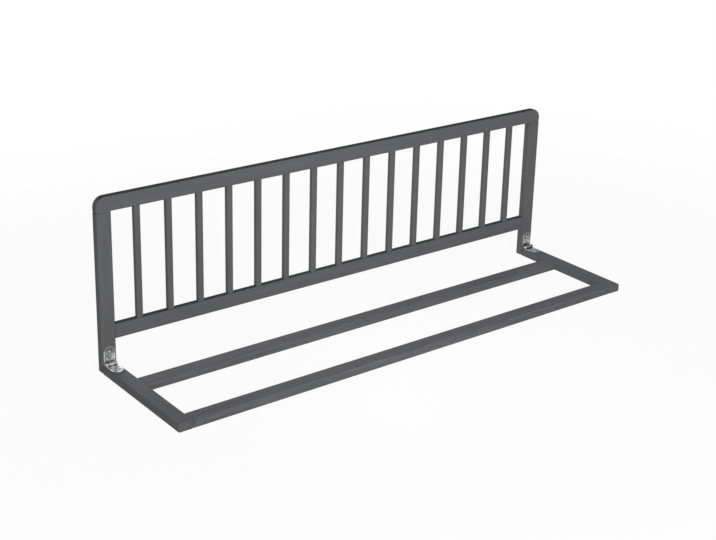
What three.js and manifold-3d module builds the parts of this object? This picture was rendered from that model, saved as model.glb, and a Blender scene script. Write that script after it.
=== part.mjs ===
// A folding bed guard rail: a slatted wooden barrier hinged to a flat base that slides under a mattress.
// Millimetres. X runs along the bed, Y points away from the mattress and Z points up.
// The origin is on the surface that the base lies on, under the middle of the standing rail.

import * as THREE from "three";
import { mergeVertices } from "three/addons/utils/BufferGeometryUtils.js";
import Module from "manifold-3d";

const wasm = await Module();
wasm.setup();

// Overall sizes
const overallLength = 1200;
const overallHeight = 376;
const baseReach = 300; // from the posts' front face to the arms' front ends

// Barrier
const barrierThickness = 17;
const sideBoardWidth = 33; // the posts and the arms are cut from one width of board
const topRailHeight = 32;
const topCornerRadius = 22;
const bottomRailHeight = 32;
const bottomRailLift = 70; // from the floor to the rail's underside
const bottomRailSetback = 1; // behind the posts' front face, and as much in front of their back

// Slats
const slatCount = 15;
const slatWidth = 14;
const slatEndGap = 52; // between a post and the slat next to it
const slatHousing = 12; // how far a slat's ends stand in the rails
const housingWall = 1.7; // wood left on each side of a slat's housing

// Base
const baseThickness = 18;
const baseRailWidth = 34;
const innerRailGap = 85; // from the posts' front face to the inner rail
const frontRailSetback = 0.5; // behind the arms' front ends

// Eased edges
const boardEase = 2.5;
const boardFaceCorner = 1; // radius left at the corners of a board's flat face
const baseRailEndEase = 0.4;
const bottomRailEndEase = 1.5;
const frontRailChamfer = 2; // on the front rail's two front corners
const shoulderSink = 0.1; // how far a shoulder stays under the faces round it
const slatEase = 2;

// Dowels, two in each joint
const dowelDiameter = 8;
const dowelLength = 30;
const dowelSpacing = 16;
const dowelChamfer = 1;

// Hinges
const hingeWidth = 25;
const hingeReach = 35.5; // from the pin to the round end of a leaf
const hingeCrank = 5.2; // how far the leaf on a post is set back, by a foot that reaches forward to the pin
const leafThickness = 1.5;
const leafEase = 0.3;
const pinDiameter = 4.4;
const pinChamfer = 0.5;
const knuckleCount = 5;
const screwPairReach = 12; // from the pin to the two screws beside each other
const screwPairSpacing = 14;
const screwEndReach = 24.5; // from the pin to the single screw

// Countersunk screws
const screwDiameter = 3;
const screwHeadDiameter = 6;
const screwLength = 12;
const screwTip = 3;
const screwSink = 0.5; // how far a head lies below the leaf's face
const recessSpan = 3.6;
const recessWidth = 0.9;
const recessDepth = 0.8;

// Clearances
const jointGap = 0.3; // between boards that meet, and round what is let into them
const hingeGap = 0.3; // between a hinge's moving parts, and between its leaves and the wood
const screwGap = 0.3; // round a screw
const overrun = 1; // how far a cutting solid passes the face that it opens

// Counts of steps in round shapes
const edgeSteps = 3;
const endEdgeSteps = 1;
const smallCornerSteps = 3;
const largeCornerSteps = 8;
const slatCornerSteps = 2;
const leafEndSteps = 16;
const leafEdgeSteps = 1;
const knuckleSides = 20;
const screwSides = 12;
const dowelSides = 10;

// Places worked out from the sizes above. The barrier's boards share one middle plane.
const overallDepth = baseReach + barrierThickness;
const frontY = -overallDepth / 2;
const postFaceY = frontY + baseReach;
const barrierMidY = postFaceY + barrierThickness / 2;
const sideBoardX = (overallLength - sideBoardWidth) / 2;
const postHeight = overallHeight - topRailHeight - jointGap;
const bottomRailThickness = barrierThickness - 2 * bottomRailSetback;
const bottomRailTop = bottomRailLift + bottomRailHeight;
const betweenSides = overallLength - 2 * sideBoardWidth;
const crossLength = betweenSides - 2 * jointGap;
const slatOpening = overallHeight - topRailHeight - bottomRailTop;
const slatDepth = bottomRailThickness - 2 * (housingWall + jointGap);
const slatPitch = (betweenSides - 2 * slatEndGap - slatWidth) / (slatCount - 1);
const armLength = baseReach - jointGap;
const innerRailY = postFaceY - innerRailGap - baseRailWidth / 2;
const frontRailY = frontY + frontRailSetback + baseRailWidth / 2;
const baseMidZ = baseThickness / 2;

// The hinge pins lie in the corner between the posts and the arms, just clear of the arms.
const knuckleBore = pinDiameter / 2 + hingeGap;
const knuckleRadius = knuckleBore + leafThickness;
const pinOffset = knuckleRadius + hingeGap;
const pinY = postFaceY - pinOffset - hingeCrank;
const pinZ = baseThickness + pinOffset;

// Materials
const paintedWood = new THREE.MeshStandardMaterial({ color: 0x616264, roughness: 0.5, metalness: 0 });
const bareWood = new THREE.MeshStandardMaterial({ color: 0xd2b48c, roughness: 0.8, metalness: 0 });
const zincSteel = new THREE.MeshStandardMaterial({ color: 0xb4b9bd, roughness: 0.35, metalness: 1 });

// Solids

// The closed solid of a geometry, to cut or to join.
function solidOf(geometry) {
  const bare = geometry.clone();
  bare.deleteAttribute("normal");
  bare.deleteAttribute("uv");
  const merged = mergeVertices(bare);
  return new wasm.Manifold(
    new wasm.Mesh({
      numProp: 3,
      vertProperties: merged.attributes.position.array,
      triVerts: new Uint32Array(merged.index.array),
    }),
  );
}

function geometryOf(solid) {
  const { vertProperties, triVerts } = solid.getMesh();
  const geometry = new THREE.BufferGeometry();
  geometry.setAttribute("position", new THREE.BufferAttribute(vertProperties, 3));
  geometry.setIndex(new THREE.BufferAttribute(triVerts, 1));
  geometry.computeVertexNormals();
  return geometry;
}

function joined(geometries) {
  return geometries.map(solidOf).reduce((whole, next) => whole.add(next));
}

// Outlines and bodies

// An outline centred on the origin, with a rounded corner in each quarter. They are listed anticlockwise
// from the lower right.
function roundedOutline(width, height, corners) {
  const points = [];
  corners.forEach(({ radius, steps }, quarter) => {
    const right = quarter === 0 || quarter === 1;
    const upper = quarter === 1 || quarter === 2;
    const x = (right ? 1 : -1) * (width / 2 - radius);
    const y = (upper ? 1 : -1) * (height / 2 - radius);
    for (let step = 0; step <= steps; step++) {
      const angle = ((quarter - 1 + step / steps) * Math.PI) / 2;
      points.push(new THREE.Vector2(x + radius * Math.cos(angle), y + radius * Math.sin(angle)));
    }
  });
  return new THREE.Shape(points);
}

// A plate of an outline in X and Y, centred on Z, with the edges of both faces rounded.
function easedPlate(outline, thickness, ease, steps) {
  const depth = thickness - 2 * ease;
  const plate = new THREE.ExtrudeGeometry(outline, {
    depth,
    bevelThickness: ease,
    bevelSize: ease,
    bevelOffset: -ease,
    bevelSegments: steps,
  });
  return plate.translate(0, 0, -depth / 2);
}

// A straight bar of an outline in X and Y, centred on Z, with flat ends.
function bar(outline, length) {
  const straight = new THREE.ExtrudeGeometry(outline, { depth: length, bevelEnabled: false });
  return straight.translate(0, 0, -length / 2);
}

// A solid turned about Z, from a profile of [radius, height] pairs that runs upwards.
function turned(profile, sides) {
  const points = profile.map(([radius, height]) => new THREE.Vector2(radius, height));
  return new THREE.LatheGeometry(points, sides).rotateX(Math.PI / 2);
}

// Boards

// The section of a board, with its long edges rounded.
function sectionOutline(width, thickness) {
  const corner = { radius: boardEase, steps: edgeSteps };
  return roundedOutline(width, thickness, [corner, corner, corner, corner]);
}

// A rail that runs along X between the two sides.
function crossRailGeometry(height, thickness, ease) {
  const section = sectionOutline(height, thickness);
  return easedPlate(section, crossLength, ease, endEdgeSteps).rotateY(Math.PI / 2);
}

// The front rail's upright front corners are cut off at 45 degrees.
function frontRailGeometry() {
  const rail = crossRailGeometry(baseThickness, baseRailWidth, baseRailEndEase);
  const side = Math.SQRT2 * frontRailChamfer;
  const cutters = [-1, 1].map((sign) => {
    const cutter = new THREE.BoxGeometry(side, side, baseThickness + 2 * overrun);
    return cutter.rotateZ(Math.PI / 4).translate((sign * crossLength) / 2, -baseRailWidth / 2, 0);
  });
  return geometryOf(solidOf(rail).subtract(joined(cutters)));
}

// The other boards are rounded at their ends too. These are the corners of their widest face.
const boardCorner = { radius: boardEase + boardFaceCorner, steps: smallCornerSteps };

// A post is rounded at its foot and cut square at its top.
function postGeometry() {
  const uncut = postHeight + boardCorner.radius;
  const corners = [boardCorner, boardCorner, boardCorner, boardCorner];
  const outline = roundedOutline(sideBoardWidth, uncut, corners);
  const board = easedPlate(outline, barrierThickness, boardEase, edgeSteps).rotateX(Math.PI / 2);
  board.translate(0, 0, (uncut - postHeight) / 2);
  return geometryOf(solidOf(board).trimByPlane([0, 0, -1], -postHeight / 2));
}

function topRailGeometry() {
  const radius = Math.min(topCornerRadius, topRailHeight - boardCorner.radius);
  const outer = { radius, steps: largeCornerSteps };
  const outline = roundedOutline(overallLength, topRailHeight, [boardCorner, outer, outer, boardCorner]);
  return easedPlate(outline, barrierThickness, boardEase, edgeSteps).rotateX(Math.PI / 2);
}

function armGeometry() {
  const corners = [boardCorner, boardCorner, boardCorner, boardCorner];
  const outline = roundedOutline(sideBoardWidth, armLength, corners);
  return easedPlate(outline, baseThickness, boardEase, edgeSteps);
}

// Where another board butts against the side of the top rail or an arm, that side is not rounded but has a
// square shoulder. Each is a short bar that ends in the side, and stops short of the board's own corner.
const shoulderDepth = 2 * boardEase;

function postShoulder(sign) {
  const width = sideBoardWidth - boardCorner.radius;
  const outline = sectionOutline(width - 2 * shoulderSink, barrierThickness - 2 * shoulderSink);
  const x = sign * (sideBoardX - boardCorner.radius / 2);
  const z = overallHeight - topRailHeight + shoulderSink + shoulderDepth / 2;
  return bar(outline, shoulderDepth).translate(x, barrierMidY, z);
}

function railShoulder(sign, cornerLeft, y) {
  const width = baseRailWidth - cornerLeft;
  const outline = sectionOutline(baseThickness - 2 * shoulderSink, width - 2 * shoulderSink);
  const x = sign * (betweenSides / 2 + shoulderSink + shoulderDepth / 2);
  return bar(outline, shoulderDepth).rotateY(Math.PI / 2).translate(x, y + cornerLeft / 2, baseMidZ);
}

// Slats

function slatOutline(grown) {
  const corner = { radius: slatEase + grown, steps: slatCornerSteps };
  return roundedOutline(slatWidth + 2 * grown, slatDepth + 2 * grown, [corner, corner, corner, corner]);
}

const slatMidZ = bottomRailTop + slatOpening / 2;
const slatLength = slatOpening + 2 * slatHousing;
const slatPlaces = Array.from({ length: slatCount }, (_, i) => {
  const x = (i - (slatCount - 1) / 2) * slatPitch;
  return new THREE.Vector3(x, barrierMidY, slatMidZ);
});

// Dowels

// A joint has two dowels on its seam, which point along one axis and stand side by side along another.
const dowelJoints = ["left", "right"].flatMap((side) => {
  const sign = side === "left" ? -1 : 1;
  const seamX = (sign * betweenSides) / 2;
  return [
    {
      name: side + "_top_dowel",
      onBarrier: true,
      upright: true,
      middle: new THREE.Vector3(sign * sideBoardX, barrierMidY, postHeight + jointGap / 2),
      across: new THREE.Vector3(1, 0, 0),
    },
    {
      name: side + "_bottom_dowel",
      onBarrier: true,
      upright: false,
      middle: new THREE.Vector3(seamX, barrierMidY, bottomRailLift + bottomRailHeight / 2),
      across: new THREE.Vector3(0, 0, 1),
    },
    {
      name: side + "_inner_dowel",
      onBarrier: false,
      upright: false,
      middle: new THREE.Vector3(seamX, innerRailY, baseMidZ),
      across: new THREE.Vector3(0, 1, 0),
    },
    {
      name: side + "_front_dowel",
      onBarrier: false,
      upright: false,
      middle: new THREE.Vector3(seamX, frontRailY, baseMidZ),
      across: new THREE.Vector3(0, 1, 0),
    },
  ];
});

const dowels = dowelJoints.flatMap(({ name, onBarrier, upright, middle, across }) =>
  [-1, 1].map((sign, i) => ({
    name: name + "_" + (i + 1),
    onBarrier,
    upright,
    place: middle.clone().addScaledVector(across, (sign * dowelSpacing) / 2),
  })),
);

// A dowel, or the hole for one where it is grown by a gap.
function dowelGeometry(upright, grown) {
  const radius = dowelDiameter / 2 + grown;
  const half = dowelLength / 2 + grown;
  const profile = [
    [0, -half],
    [radius - dowelChamfer, -half],
    [radius, dowelChamfer - half],
    [radius, half - dowelChamfer],
    [radius - dowelChamfer, half],
    [0, half],
  ];
  const geometry = turned(profile, dowelSides);
  return upright ? geometry : geometry.rotateY(Math.PI / 2);
}

// Screws

// A screw points down Z with the top of its head at zero. The hole for one has a flat bottom, and its
// countersink goes on at the same slope past the head.
const headDepth = (screwHeadDiameter - screwDiameter) / 2;

function screwGeometry() {
  const shank = turned(
    [
      [0, -screwLength],
      [screwDiameter / 2, screwTip - screwLength],
      [screwDiameter / 2, -headDepth],
      [screwHeadDiameter / 2, 0],
      [0, 0],
    ],
    screwSides,
  );
  const slotHeight = recessDepth + overrun;
  const slot = new THREE.BoxGeometry(recessSpan, recessWidth, slotHeight);
  slot.translate(0, 0, slotHeight / 2 - recessDepth);
  const crossSlot = slot.clone().rotateZ(Math.PI / 2);
  return geometryOf(solidOf(shank).subtract(joined([slot, crossSlot])));
}

function screwHole() {
  return turned(
    [
      [0, -screwLength - screwGap],
      [screwDiameter / 2 + screwGap, -screwLength - screwGap],
      [screwDiameter / 2 + screwGap, -headDepth],
      [screwHeadDiameter / 2 + screwGap + overrun, overrun],
      [0, overrun],
    ],
    screwSides,
  );
}

// Hinges

// A leaf lies along +Y from the pin, on wood below it, with Z measured from the pin. The one on an arm is
// flat. The one on a post is set back by the crank, and its foot comes forward to the pin at right angles.
const leafUnder = -knuckleRadius;
const leafMid = leafUnder + leafThickness / 2;
const leafStart = knuckleRadius + hingeGap;
const knuckleLength = (hingeWidth - (knuckleCount - 1) * hingeGap) / knuckleCount;

const leaves = {
  arm: {
    turn: new THREE.Euler(0, 0, Math.PI),
    crank: 0,
    plateStart: leafStart,
    firstKnuckle: 0,
  },
  post: {
    turn: new THREE.Euler(Math.PI / 2, 0, 0),
    crank: hingeCrank,
    plateStart: leafUnder,
    firstKnuckle: 1,
  },
};

function screwPlaces({ crank }) {
  const head = leafUnder + leafThickness - crank - screwSink;
  return [
    new THREE.Vector3(-screwPairSpacing / 2, screwPairReach, head),
    new THREE.Vector3(screwPairSpacing / 2, screwPairReach, head),
    new THREE.Vector3(0, screwEndReach, head),
  ];
}

function leafOutline(start) {
  const outline = new THREE.Shape();
  outline.moveTo(-hingeWidth / 2, start);
  outline.lineTo(hingeWidth / 2, start);
  outline.absarc(0, hingeReach - hingeWidth / 2, hingeWidth / 2, 0, Math.PI);
  // An arc takes twice the count of points asked for.
  return new THREE.Shape(outline.getPoints(leafEndSteps / 2));
}

// A flat strip of the leaf's metal below the pin, from one reach to another, at a place along the pin.
function strip(width, from, to, x) {
  const metal = new THREE.BoxGeometry(width, to - from, leafThickness);
  return metal.translate(x, (from + to) / 2, leafMid);
}

// The foot is made as a flat strip too, and turned to stand at right angles to the leaf. The plate and the
// foot overlap in their corner. Every second knuckle, from the first one given, belongs to this leaf.
function leafGeometry({ crank, plateStart, firstKnuckle }) {
  const plate = easedPlate(leafOutline(plateStart), leafThickness, leafEase, leafEdgeSteps);
  plate.translate(0, 0, leafMid - crank);
  const metal = [plate];
  const standing = crank > 0;
  const strapReach = standing ? knuckleRadius + crank - leafEase : leafStart + knuckleRadius;
  const strips = standing ? [strip(hingeWidth - 2 * leafEase, leafStart, strapReach, 0)] : [];
  for (let i = firstKnuckle; i < knuckleCount; i += 2) {
    const x = (i - (knuckleCount - 1) / 2) * (knuckleLength + hingeGap);
    const barrel = new THREE.CylinderGeometry(knuckleRadius, knuckleRadius, knuckleLength, knuckleSides);
    metal.push(barrel.rotateZ(Math.PI / 2).translate(x, 0, 0));
    strips.push(strip(knuckleLength, 0, strapReach, x));
  }
  metal.push(...strips.map((piece) => (standing ? piece.rotateX(-Math.PI / 2) : piece)));
  const bore = new THREE.CylinderGeometry(knuckleBore, knuckleBore, hingeWidth + 2 * overrun, knuckleSides);
  bore.rotateZ(Math.PI / 2);
  const holes = screwPlaces({ crank }).map(({ x, y, z }) => screwHole().translate(x, y, z));
  return geometryOf(joined(metal).subtract(joined([bore, ...holes])));
}

function pinGeometry() {
  const radius = pinDiameter / 2;
  const half = hingeWidth / 2;
  const profile = [
    [0, -half],
    [radius - pinChamfer, -half],
    [radius, pinChamfer - half],
    [radius, half - pinChamfer],
    [radius - pinChamfer, half],
    [0, half],
  ];
  return turned(profile, knuckleSides).rotateY(Math.PI / 2);
}

// The group of one leaf, which the leaf and its screws share: forward along the arm, or up the post.
function leafFrame(sign, { turn }) {
  const frame = new THREE.Group();
  frame.position.set(sign * sideBoardX, pinY, pinZ);
  frame.rotation.copy(turn);
  frame.updateMatrixWorld();
  return frame;
}

// The scene graph

// The barrier turns about the hinge pins, and what it holds keeps the part's own coordinates.
const guard = new THREE.Group();
const base = new THREE.Group();
const barrier = new THREE.Group();
const barrierPieces = new THREE.Group();
barrier.position.set(0, pinY, pinZ);
barrierPieces.position.set(0, -pinY, -pinZ);
barrier.add(barrierPieces);
guard.add(base, barrier);

function addPiece(parent, name, geometry, material, place) {
  const piece = new THREE.Mesh(geometry, material.clone());
  piece.name = name;
  piece.position.copy(place);
  parent.add(piece);
  return piece;
}

// The holes in the boards, each where its slat, dowel or screw is.
const housings = slatPlaces.map(({ x, y, z }) =>
  bar(slatOutline(jointGap), slatLength + 2 * jointGap).translate(x, y, z),
);
const dowelHoles = dowels.map(({ upright, place }) =>
  dowelGeometry(upright, jointGap).translate(place.x, place.y, place.z),
);
const pilotHoles = [-1, 1].flatMap((sign) =>
  Object.values(leaves).flatMap((leaf) =>
    screwPlaces(leaf).map(({ x, y, z }) =>
      screwHole().translate(x, y, z).applyMatrix4(leafFrame(sign, leaf).matrixWorld),
    ),
  ),
);
const boardHoles = joined([...housings, ...dowelHoles, ...pilotHoles]);

// A board is cut where it lies, with its shoulders, and its geometry is then brought back to its own centre.
function addBoard(parent, name, geometry, x, y, z, shoulders = []) {
  const whole = joined([geometry.translate(x, y, z), ...shoulders]);
  const cut = geometryOf(whole.subtract(boardHoles)).translate(-x, -y, -z);
  return addPiece(parent, name, cut, paintedWood, new THREE.Vector3(x, y, z));
}

// Boards of the barrier
const topRailZ = overallHeight - topRailHeight / 2;
const topShoulders = [postShoulder(-1), postShoulder(1)];
addBoard(barrierPieces, "top_rail", topRailGeometry(), 0, barrierMidY, topRailZ, topShoulders);
const bottomRail = crossRailGeometry(bottomRailHeight, bottomRailThickness, bottomRailEndEase);
addBoard(barrierPieces, "bottom_rail", bottomRail, 0, barrierMidY, bottomRailLift + bottomRailHeight / 2);
slatPlaces.forEach((place, i) => {
  const name = "slat_" + String(i + 1).padStart(2, "0");
  addPiece(barrierPieces, name, bar(slatOutline(0), slatLength), paintedWood, place);
});

// Boards of the base
const innerRail = crossRailGeometry(baseThickness, baseRailWidth, baseRailEndEase);
addBoard(base, "inner_rail", innerRail, 0, innerRailY, baseMidZ);
addBoard(base, "front_rail", frontRailGeometry(), 0, frontRailY, baseMidZ);

// A post, an arm and a hinge on each side
for (const [side, sign] of [["left", -1], ["right", 1]]) {
  const x = sign * sideBoardX;
  addBoard(barrierPieces, side + "_post", postGeometry(), x, barrierMidY, postHeight / 2);
  const shoulders = [railShoulder(sign, 0, innerRailY), railShoulder(sign, boardCorner.radius, frontRailY)];
  addBoard(base, side + "_arm", armGeometry(), x, frontY + armLength / 2, baseMidZ, shoulders);

  const pinPlace = new THREE.Vector3(x, pinY, pinZ);
  addPiece(base, side + "_hinge_pin", pinGeometry(), zincSteel, pinPlace);
  for (const [board, leaf] of Object.entries(leaves)) {
    const frame = leafFrame(sign, leaf);
    const parent = board === "arm" ? base : barrierPieces;
    parent.add(frame);
    const name = side + "_hinge_" + board;
    addPiece(frame, name + "_leaf", leafGeometry(leaf), zincSteel, new THREE.Vector3());
    screwPlaces(leaf).forEach((place, i) => {
      addPiece(frame, name + "_screw_" + (i + 1), screwGeometry(), zincSteel, place);
    });
  }
}

for (const { name, onBarrier, upright, place } of dowels) {
  addPiece(onBarrier ? barrierPieces : base, name, dowelGeometry(upright, 0), bareWood, place);
}

export default guard;
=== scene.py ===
"""The looks of a folding bed guard rail: painted boards and zinc-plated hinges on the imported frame."""

import math

import bpy
from mathutils import Matrix, Vector

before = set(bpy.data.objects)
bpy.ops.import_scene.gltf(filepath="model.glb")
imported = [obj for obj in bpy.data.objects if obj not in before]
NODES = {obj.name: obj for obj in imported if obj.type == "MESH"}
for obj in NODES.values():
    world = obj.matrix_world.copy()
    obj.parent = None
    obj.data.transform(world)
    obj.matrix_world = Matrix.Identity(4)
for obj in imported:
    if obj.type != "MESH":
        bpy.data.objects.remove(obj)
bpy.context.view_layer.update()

# Camera, fitted to the photograph's edges. Angles in degrees, place in metres, lens in millimetres.
YAW, PITCH, ROLL = -38.09, -19.716, 1.472
CAMERA_PLACE = (-1.77016, -2.17518, 1.27921)
LENS = 70.248
SENSOR = 36
SHIFT_Y = -0.0838
NEAREST, FARTHEST = 0.01, 100

# Colours, linear
PAINT = (0.120, 0.121, 0.126)
ZINC = (0.62, 0.63, 0.65)
BEECH = (0.62, 0.44, 0.27)

# Paint
UPPER_PAINTED_SHADE = 0.62  # painted shade: how light the barrier's rails are made on top, beside their faces
END_SHADE = 0.9  # of the boards' ends, beside their faces
BASE_GRAIN = 2.4  # how much stronger the grain shows on the base's rails
PAINT_ROUGHNESS = (0.58, 0.66)
SHEEN = 0.12

# How directly a face looks along an axis where it begins to count as an end or a top, and fully does
FACING_END = (0.75, 0.95)
FACING_UP = (0.5, 0.9)

# Plating. The tones are shares of the zinc's own colour, and most of them are painted highlight and
# painted shade.
PLATING_ROUGHNESS = (0.30, 0.44)
# Painted shade: each hinge gets its own lightness of plating, the right one darker as if it stood in shade
HINGE_PAINTED_SHADE = {"left": 0.78, "right": 0.44}  # as light as the photograph shows each
SCREW_CLOUD = (0.75, 1.1)  # darkest and lightest patches of the plating
LEAF_CLOUD = (0.6, 1.15)
LYING_PAINTED_REFLECTION = 0.9  # painted reflection: the leaves on the arms are made darker beside those on the posts, as if mirroring the dark barrier above
NEAR_PAINTED_LIGHT, FAR_PAINTED_SHADE = 1.25, 0.6  # painted highlight near a leaf's knuckles and painted shade at its round end
BARREL_PAINTED_SHADE = 0.6  # painted shade on the knuckles, dimming their highlight
# Painted highlight along each leaf's rim, as if its edges caught the light
RIM_PAINTED_HIGHLIGHT = {"arm": 2.1, "post": 1.8}
SCREW_PAINTED_SHADE = 0.45  # painted shade round the single screw
PAIR_SCREW_PAINTED_SHADE = 0.7  # painted shade round the two screws beside each other
SCREWS_IN_LEAF = 3

# Painted highlight and painted shade on the hinge leaves, in metres
HIGHLIGHT_RIM = {"arm": 0.0016, "post": 0.0011}  # breadth of the rim's painted highlight
SCREW_SHADE_RADIUS = 0.0042  # radius of the painted shade round a screw
BARREL_START = 0.0185  # from the middle of the round end back to the knuckles
RIM_FADE, RING_FADE, BARREL_FADE = 1.6, 1.3, 1.08  # at how many times its size each has faded out

# Light: strength of the sky, and each lamp's place, aim, width, height, watts and spread in degrees
SKY = 0.232
LAMPS = {
    "key": ((-1.2, -3.0, 1.3), (0.1, 0.0, 0.12), 2.4, 1.4, 73, 180),
    "fill": ((0.4, -2.0, 0.6), (0.1, 0.1, 0.15), 1.4, 0.8, 2.5, 180),
    "side": ((-0.75, -0.45, 0.45), (0.55, -0.02, 0.08), 0.3, 0.3, 0.56, 70),
    "top": ((-0.35, -0.1, 1.6), (0.0, -0.05, 0.0), 1.2, 1.0, 3.1, 180),
    "back": ((0.3, 2.3, 0.5), (0.0, 0.15, 0.15), 1.8, 0.7, 17, 180),
}

# Floor, in metres
FLOOR_REACH = 12.0
FLOOR_DROP = 0.0005  # keeps the floor clear of the undersides that lie on it
FLOOR_FADE = (0.7, 2.2)  # radii between which shadows fade out where eyes and mirrors see them
FLOOR_WHITE = (0.92, 1.0)  # how white it is seen inside and outside the fade
FLOOR_GREY = (0.74, 0.95)  # its colour for light that bounces, and under the white

# The part of a noise's range that most of it fills
NOISE_SPAN = (0.3, 0.7)


def add_camera():
    yaw, pitch, roll = (math.radians(angle) for angle in (YAW, PITCH, ROLL))
    forward = Vector((-math.sin(yaw), math.cos(yaw), 0))
    ahead = math.cos(pitch) * forward + math.sin(pitch) * Vector((0, 0, 1))
    level = Vector((math.cos(yaw), math.sin(yaw), 0))
    above = level.cross(ahead)
    right = math.cos(roll) * level + math.sin(roll) * above
    up = math.cos(roll) * above - math.sin(roll) * level
    data = bpy.data.cameras.new("camera")
    data.sensor_width, data.lens, data.shift_y = SENSOR, LENS, SHIFT_Y
    data.clip_start, data.clip_end = NEAREST, FARTHEST
    camera = bpy.data.objects.new("camera", data)
    turn = Matrix((right, up, -ahead)).transposed()
    camera.matrix_world = Matrix.Translation(CAMERA_PLACE) @ turn.to_4x4()
    bpy.context.scene.collection.objects.link(camera)
    bpy.context.scene.camera = camera


class Nodes:
    """Short words for building a material's nodes."""

    def __init__(self, tree):
        self.tree = tree
        tree.nodes.clear()

    def add(self, kind, settings=None, **inputs):
        """A node with its inputs set, each given by its name, or as i and its number."""
        node = self.tree.nodes.new("ShaderNode" + kind)
        for name, value in (settings or {}).items():
            setattr(node, name, value)
        for name, value in inputs.items():
            numbered = name[0] == "i" and name[1:].isdigit()
            self.put(node.inputs[int(name[1:]) if numbered else name.replace("_", " ")], value)
        return node

    def put(self, socket, value):
        if isinstance(value, bpy.types.NodeSocket):
            self.tree.links.new(value, socket)
        else:
            socket.default_value = value

    def math(self, operation, a, b=0.0):
        return self.add("Math", {"operation": operation}, i0=a, i1=b).outputs[0]

    def times(self, a, b):
        return self.math("MULTIPLY", a, b)

    def ramp(self, value, low, high, to_low=0.0, to_high=1.0):
        """A smooth step from to_low, where the value is low or less, to to_high."""
        node = self.add("MapRange", {"interpolation_type": "SMOOTHSTEP"}, i0=value, i1=low, i2=high)
        self.put(node.inputs[3], to_low)
        self.put(node.inputs[4], to_high)
        return node.outputs[0]

    def length(self, vector):
        return self.add("VectorMath", {"operation": "LENGTH"}, i0=vector).outputs["Value"]

    def stretched(self, point, scale):
        return self.add("VectorMath", {"operation": "MULTIPLY"}, i0=point, i1=scale).outputs[0]

    def noise(self, point, scale, detail, roughness=0.5):
        node = self.add("TexNoise", Vector=point, Scale=scale, Detail=detail, Roughness=roughness)
        return node.outputs[0]

    def grey(self, tone):
        return self.add("CombineXYZ", i0=tone, i1=tone, i2=tone).outputs[0]

    def mix(self, factor, a, b, blend="MIX"):
        node = self.add("Mix", {"data_type": "RGBA", "blend_type": blend}, i0=factor)
        self.put(node.inputs[6], a)
        self.put(node.inputs[7], b)
        return node.outputs[2]

    def bump(self, height, distance, strength, normal=None):
        node = self.add("Bump", Strength=strength, Distance=distance, Height=height)
        if normal is not None:
            self.put(node.inputs["Normal"], normal)
        return node.outputs[0]

    def blend(self, factor, first, second):
        """A shader that is the first where the factor is 0 and the second where it is 1."""
        node = self.add("MixShader", i0=factor)
        self.put(node.inputs[1], first)
        self.put(node.inputs[2], second)
        return node.outputs[0]

    def finish(self, shader):
        self.add("OutputMaterial", Surface=shader)


def material(name):
    made = bpy.data.materials.new(name)
    made.use_nodes = True
    return made, Nodes(made.node_tree)


def rgba(colour, factor=1.0):
    return tuple(c * factor for c in colour) + (1.0,)


def fineness(axis, across, along=1.0):
    """How many times finer than its scale a noise runs across a board, and along it."""
    return tuple(along if i == axis else across for i in range(3))


def painted_wood(name, axis, top_painted_shade=1.0, grain=1.0):
    """Matt paint over grain along one axis, with grain times the contrast, and painted shade that darkens
    the top by the given factor.
    """
    made, n = material(name)
    place = n.add("TexCoord")
    point = place.outputs["Object"]
    facing = n.add("SeparateXYZ", Vector=place.outputs["Normal"]).outputs
    fibres = n.noise(n.stretched(point, fineness(axis, 14.0)), scale=60, detail=6, roughness=0.65)
    fine = n.noise(n.stretched(point, fineness(axis, 26.0)), scale=110, detail=3)
    broad = n.noise(n.stretched(point, fineness(axis, 5 * grain, 0.5)), scale=14, detail=2)
    peel = n.noise(point, scale=900, detail=2)
    pores = n.ramp(fine, 0.60, 0.72)
    end = n.ramp(n.math("ABSOLUTE", facing[axis]), *FACING_END)

    tone = n.ramp(fibres, *NOISE_SPAN, 1 - 0.10 * grain, 1 + 0.06 * grain)
    tone = n.times(tone, n.ramp(broad, 0.25, 0.75, 1 - 0.06 * grain, 1 + 0.06 * grain))
    tone = n.times(tone, n.ramp(pores, 0, 1, 1.0, 1 - 0.10 * grain))
    tone = n.times(tone, n.ramp(end, 0, 1, 1.0, END_SHADE))
    sheen = SHEEN
    # Painted shade: the top is made darker, and its sheen is taken off there
    if top_painted_shade < 1.0:
        above = n.ramp(facing[2], *FACING_UP, 1.0, top_painted_shade)
        tone = n.times(tone, above)
        sheen = n.ramp(above, top_painted_shade, 1.0, 0.0, SHEEN)
    colour = n.mix(1.0, rgba(PAINT), n.grey(tone), "MULTIPLY")
    rough = n.ramp(fibres, *NOISE_SPAN, *PAINT_ROUGHNESS)

    height = n.math("ADD", n.times(fibres, 0.6), n.times(fine, -0.3))
    normal = n.bump(height, 0.0004, 0.35)
    normal = n.bump(peel, 0.0002, 0.12, normal)
    shader = n.add("BsdfPrincipled", Base_Color=colour, Roughness=rough, Normal=normal)
    n.put(shader.inputs["Specular IOR Level"], sheen)
    n.finish(shader.outputs[0])
    return made


def plated(n, point, tone, clouds):
    """A shader of zinc plating: cloudy, finely scratched, darker where the tone is low."""
    cloud = n.noise(point, scale=110, detail=2)
    scratches = n.noise(n.stretched(point, (1.0, 9.0, 9.0)), scale=900, detail=3)
    tone = n.times(tone, n.ramp(cloud, 0.36, 0.64, *clouds))
    colour = n.mix(1.0, rgba(ZINC), n.grey(tone), "MULTIPLY")
    rough = n.ramp(scratches, *NOISE_SPAN, *PLATING_ROUGHNESS)
    normal = n.bump(cloud, 0.0005, 0.12)
    normal = n.bump(scratches, 0.00005, 0.3, normal)
    shader = n.add("BsdfPrincipled", Base_Color=colour, Roughness=rough, Metallic=1.0, Normal=normal)
    return shader.outputs[0]


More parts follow.
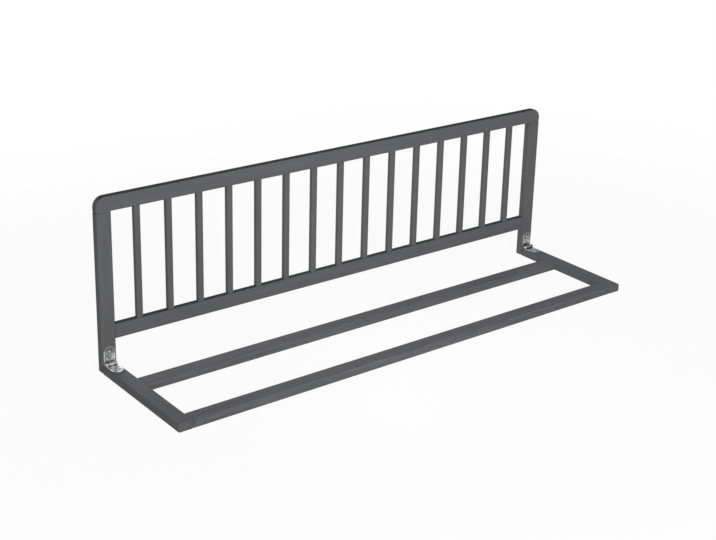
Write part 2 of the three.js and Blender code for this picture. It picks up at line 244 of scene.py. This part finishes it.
def zinc(name):
    made, n = material(name)
    n.finish(plated(n, n.add("TexCoord").outputs["Object"], 1.0, SCREW_CLOUD))
    return made


def box_of(node):
    """A node's lowest and highest corner in its own coordinates, which are those of the part at rest."""
    axes = list(zip(*node.bound_box))
    return Vector([min(axis) for axis in axes]), Vector([max(axis) for axis in axes])


def hinge_leaf(name, tone):
    """Plating with a painted highlight along the leaf's outline, painted light near the knuckles, painted
    shade at the round end, on the knuckles and round each screw.
    """
    low, high = box_of(NODES[name])
    board = name.split("_")[2]
    middle, radius = (low.x + high.x) / 2, (high.x - low.x) / 2
    made, n = material(name)
    point = n.add("TexCoord").outputs["Object"]
    axes = n.add("SeparateXYZ", Vector=point).outputs

    # How far a point lies past the middle of the round end, and how far inside the outline
    if board == "arm":
        through = 2
        past = n.math("SUBTRACT", low.y + radius, axes[1])
    else:
        through = 1
        past = n.math("SUBTRACT", axes[2], high.z - radius)
    across = n.math("SUBTRACT", axes[0], middle)
    from_middle = n.length(n.add("CombineXYZ", i0=across, i1=n.math("MAXIMUM", past, 0.0)).outputs[0])
    inside = n.math("SUBTRACT", radius, from_middle)

    # Painted highlight along the rim
    shade = n.ramp(inside, HIGHLIGHT_RIM[board], HIGHLIGHT_RIM[board] * RIM_FADE, RIM_PAINTED_HIGHLIGHT[board], 1.0)
    # Painted light near the knuckles, fading to painted shade at the round end
    shade = n.times(shade, n.ramp(past, -radius, radius, tone * NEAR_PAINTED_LIGHT, tone * FAR_PAINTED_SHADE))
    # Painted shade on the knuckles
    shade = n.times(shade, n.ramp(past, -BARREL_START * BARREL_FADE, -BARREL_START, BARREL_PAINTED_SHADE, 1.0))
    flat = n.stretched(point, tuple(0.0 if axis == through else 1.0 for axis in range(3)))
    # Painted shade round each screw, as if in its recess
    for i in range(SCREWS_IN_LEAF):
        head = sum(box_of(NODES[name.replace("leaf", f"screw_{i + 1}")]), Vector()) / 2
        head[through] = 0
        away = n.add("VectorMath", {"operation": "DISTANCE"}, i0=flat, i1=tuple(head)).outputs["Value"]
        single = abs(head.x - middle) < radius / 4
        ring_shade = SCREW_PAINTED_SHADE if single else PAIR_SCREW_PAINTED_SHADE
        shade = n.times(shade, n.ramp(away, SCREW_SHADE_RADIUS, SCREW_SHADE_RADIUS * RING_FADE, ring_shade, 1.0))
    n.finish(plated(n, point, shade, LEAF_CLOUD))
    return made


def beech(name):
    """Bare turned beech: straight grain with short dark flecks."""
    made, n = material(name)
    point = n.add("TexCoord").outputs["Object"]
    grain = n.noise(n.stretched(point, (1.0, 12.0, 12.0)), scale=90, detail=5)
    fleck = n.ramp(n.noise(n.stretched(point, (1.0, 8.0, 8.0)), scale=260, detail=2), 0.58, 0.70)
    base = n.mix(grain, rgba(BEECH, 0.85), rgba(BEECH, 1.1))
    colour = n.mix(n.times(fleck, 0.5), base, rgba(BEECH, 0.55))
    rough = n.ramp(grain, *NOISE_SPAN, 0.65, 0.8)
    normal = n.bump(grain, 0.0003, 0.4)
    n.finish(n.add("BsdfPrincipled", Base_Color=colour, Roughness=rough, Normal=normal).outputs[0])
    return made


def dress(obj, made):
    obj.data.materials.clear()
    obj.data.materials.append(made)


def grain_axis(name):
    if "arm" in name:
        return 1
    if "post" in name or "slat" in name:
        return 2
    return 0


def dress_frame():
    boards = [painted_wood("painted_wood_" + "xyz"[axis], axis) for axis in range(3)]
    # The barrier's rails get painted shade on top
    barrier_rail = painted_wood("painted_wood_barrier_rail", 0, UPPER_PAINTED_SHADE)
    base_rail = painted_wood("painted_wood_base_rail", 0, grain=BASE_GRAIN)
    screw_metal = zinc("zinc_screw")
    wood = beech("bare_beech")
    for name, obj in NODES.items():
        if "dowel" in name:
            dress(obj, wood)
        elif "screw" in name or "pin" in name:
            dress(obj, screw_metal)
        elif "leaf" in name:
            # Painted shade and painted reflection: each leaf gets its own lighter or darker copy of the
            # plating
            painted_reflection = LYING_PAINTED_REFLECTION if "arm" in name else 1.0
            dress(obj, hinge_leaf(name, HINGE_PAINTED_SHADE[name.split("_")[0]] * painted_reflection))
        elif name in ("top_rail", "bottom_rail"):
            dress(obj, barrier_rail)
        elif name in ("inner_rail", "front_rail"):
            dress(obj, base_rail)
        else:
            dress(obj, boards[grain_axis(name)])


def white_for_eyes(n):
    """One for rays that show the backdrop, seen straight, mirrored or through glass, and else nothing."""
    path = n.add("LightPath")
    seen = n.math("MAXIMUM", path.outputs["Is Camera Ray"], path.outputs["Is Glossy Ray"])
    return n.math("MAXIMUM", seen, path.outputs["Is Transmission Ray"])


def floor_paper(name):
    """White where it is seen far off, and near the part mostly white with the shadow that falls on it."""
    made, n = material(name)
    point = n.add("TexCoord").outputs["Object"]
    seen = white_for_eyes(n)
    paper = n.ramp(n.noise(point, scale=3, detail=2), *NOISE_SPAN, 0.97, 1.0)
    grey = n.times(paper, n.ramp(seen, 0, 1, *FLOOR_GREY))
    lit = n.add("BsdfDiffuse", Color=n.grey(grey)).outputs[0]
    white = n.add("Emission", Color=rgba((1, 1, 1)), Strength=1.0).outputs[0]
    far = n.ramp(n.length(point), *FLOOR_FADE, *FLOOR_WHITE)
    n.finish(n.blend(n.times(seen, far), lit, white))
    return made


def add_stage():
    corners = [(-1, -1), (1, -1), (1, 1), (-1, 1)]
    mesh = bpy.data.meshes.new("floor")
    mesh.from_pydata([(x * FLOOR_REACH, y * FLOOR_REACH, 0) for x, y in corners], [], [(0, 1, 2, 3)])
    floor = bpy.data.objects.new("floor", mesh)
    floor.location.z = -FLOOR_DROP
    bpy.context.scene.collection.objects.link(floor)
    dress(floor, floor_paper("floor_paper"))


def add_world():
    world = bpy.data.worlds.new("studio")
    bpy.context.scene.world = world
    world.use_nodes = True
    n = Nodes(world.node_tree)
    seen = n.add("Background", Color=rgba((1, 1, 1)), Strength=1.0).outputs[0]
    light = n.add("Background", Color=rgba((1, 1, 1)), Strength=SKY).outputs[0]
    n.add("OutputWorld", Surface=n.blend(white_for_eyes(n), light, seen))


def add_lamp(name, place, aim, width, height, watts, spread):
    data = bpy.data.lights.new(name, "AREA")
    data.shape, data.size, data.size_y, data.energy = "RECTANGLE", width, height, watts
    data.spread = math.radians(spread)
    lamp = bpy.data.objects.new(name, data)
    lamp.location = place
    lamp.rotation_mode = "QUATERNION"
    lamp.rotation_quaternion = (Vector(aim) - Vector(place)).to_track_quat("-Z", "Y")
    bpy.context.scene.collection.objects.link(lamp)


def add_lights():
    for name, settings in LAMPS.items():
        add_lamp(name, *settings)


add_camera()
dress_frame()
add_stage()
add_world()
add_lights()
bpy.context.scene.view_settings.view_transform = "Standard"
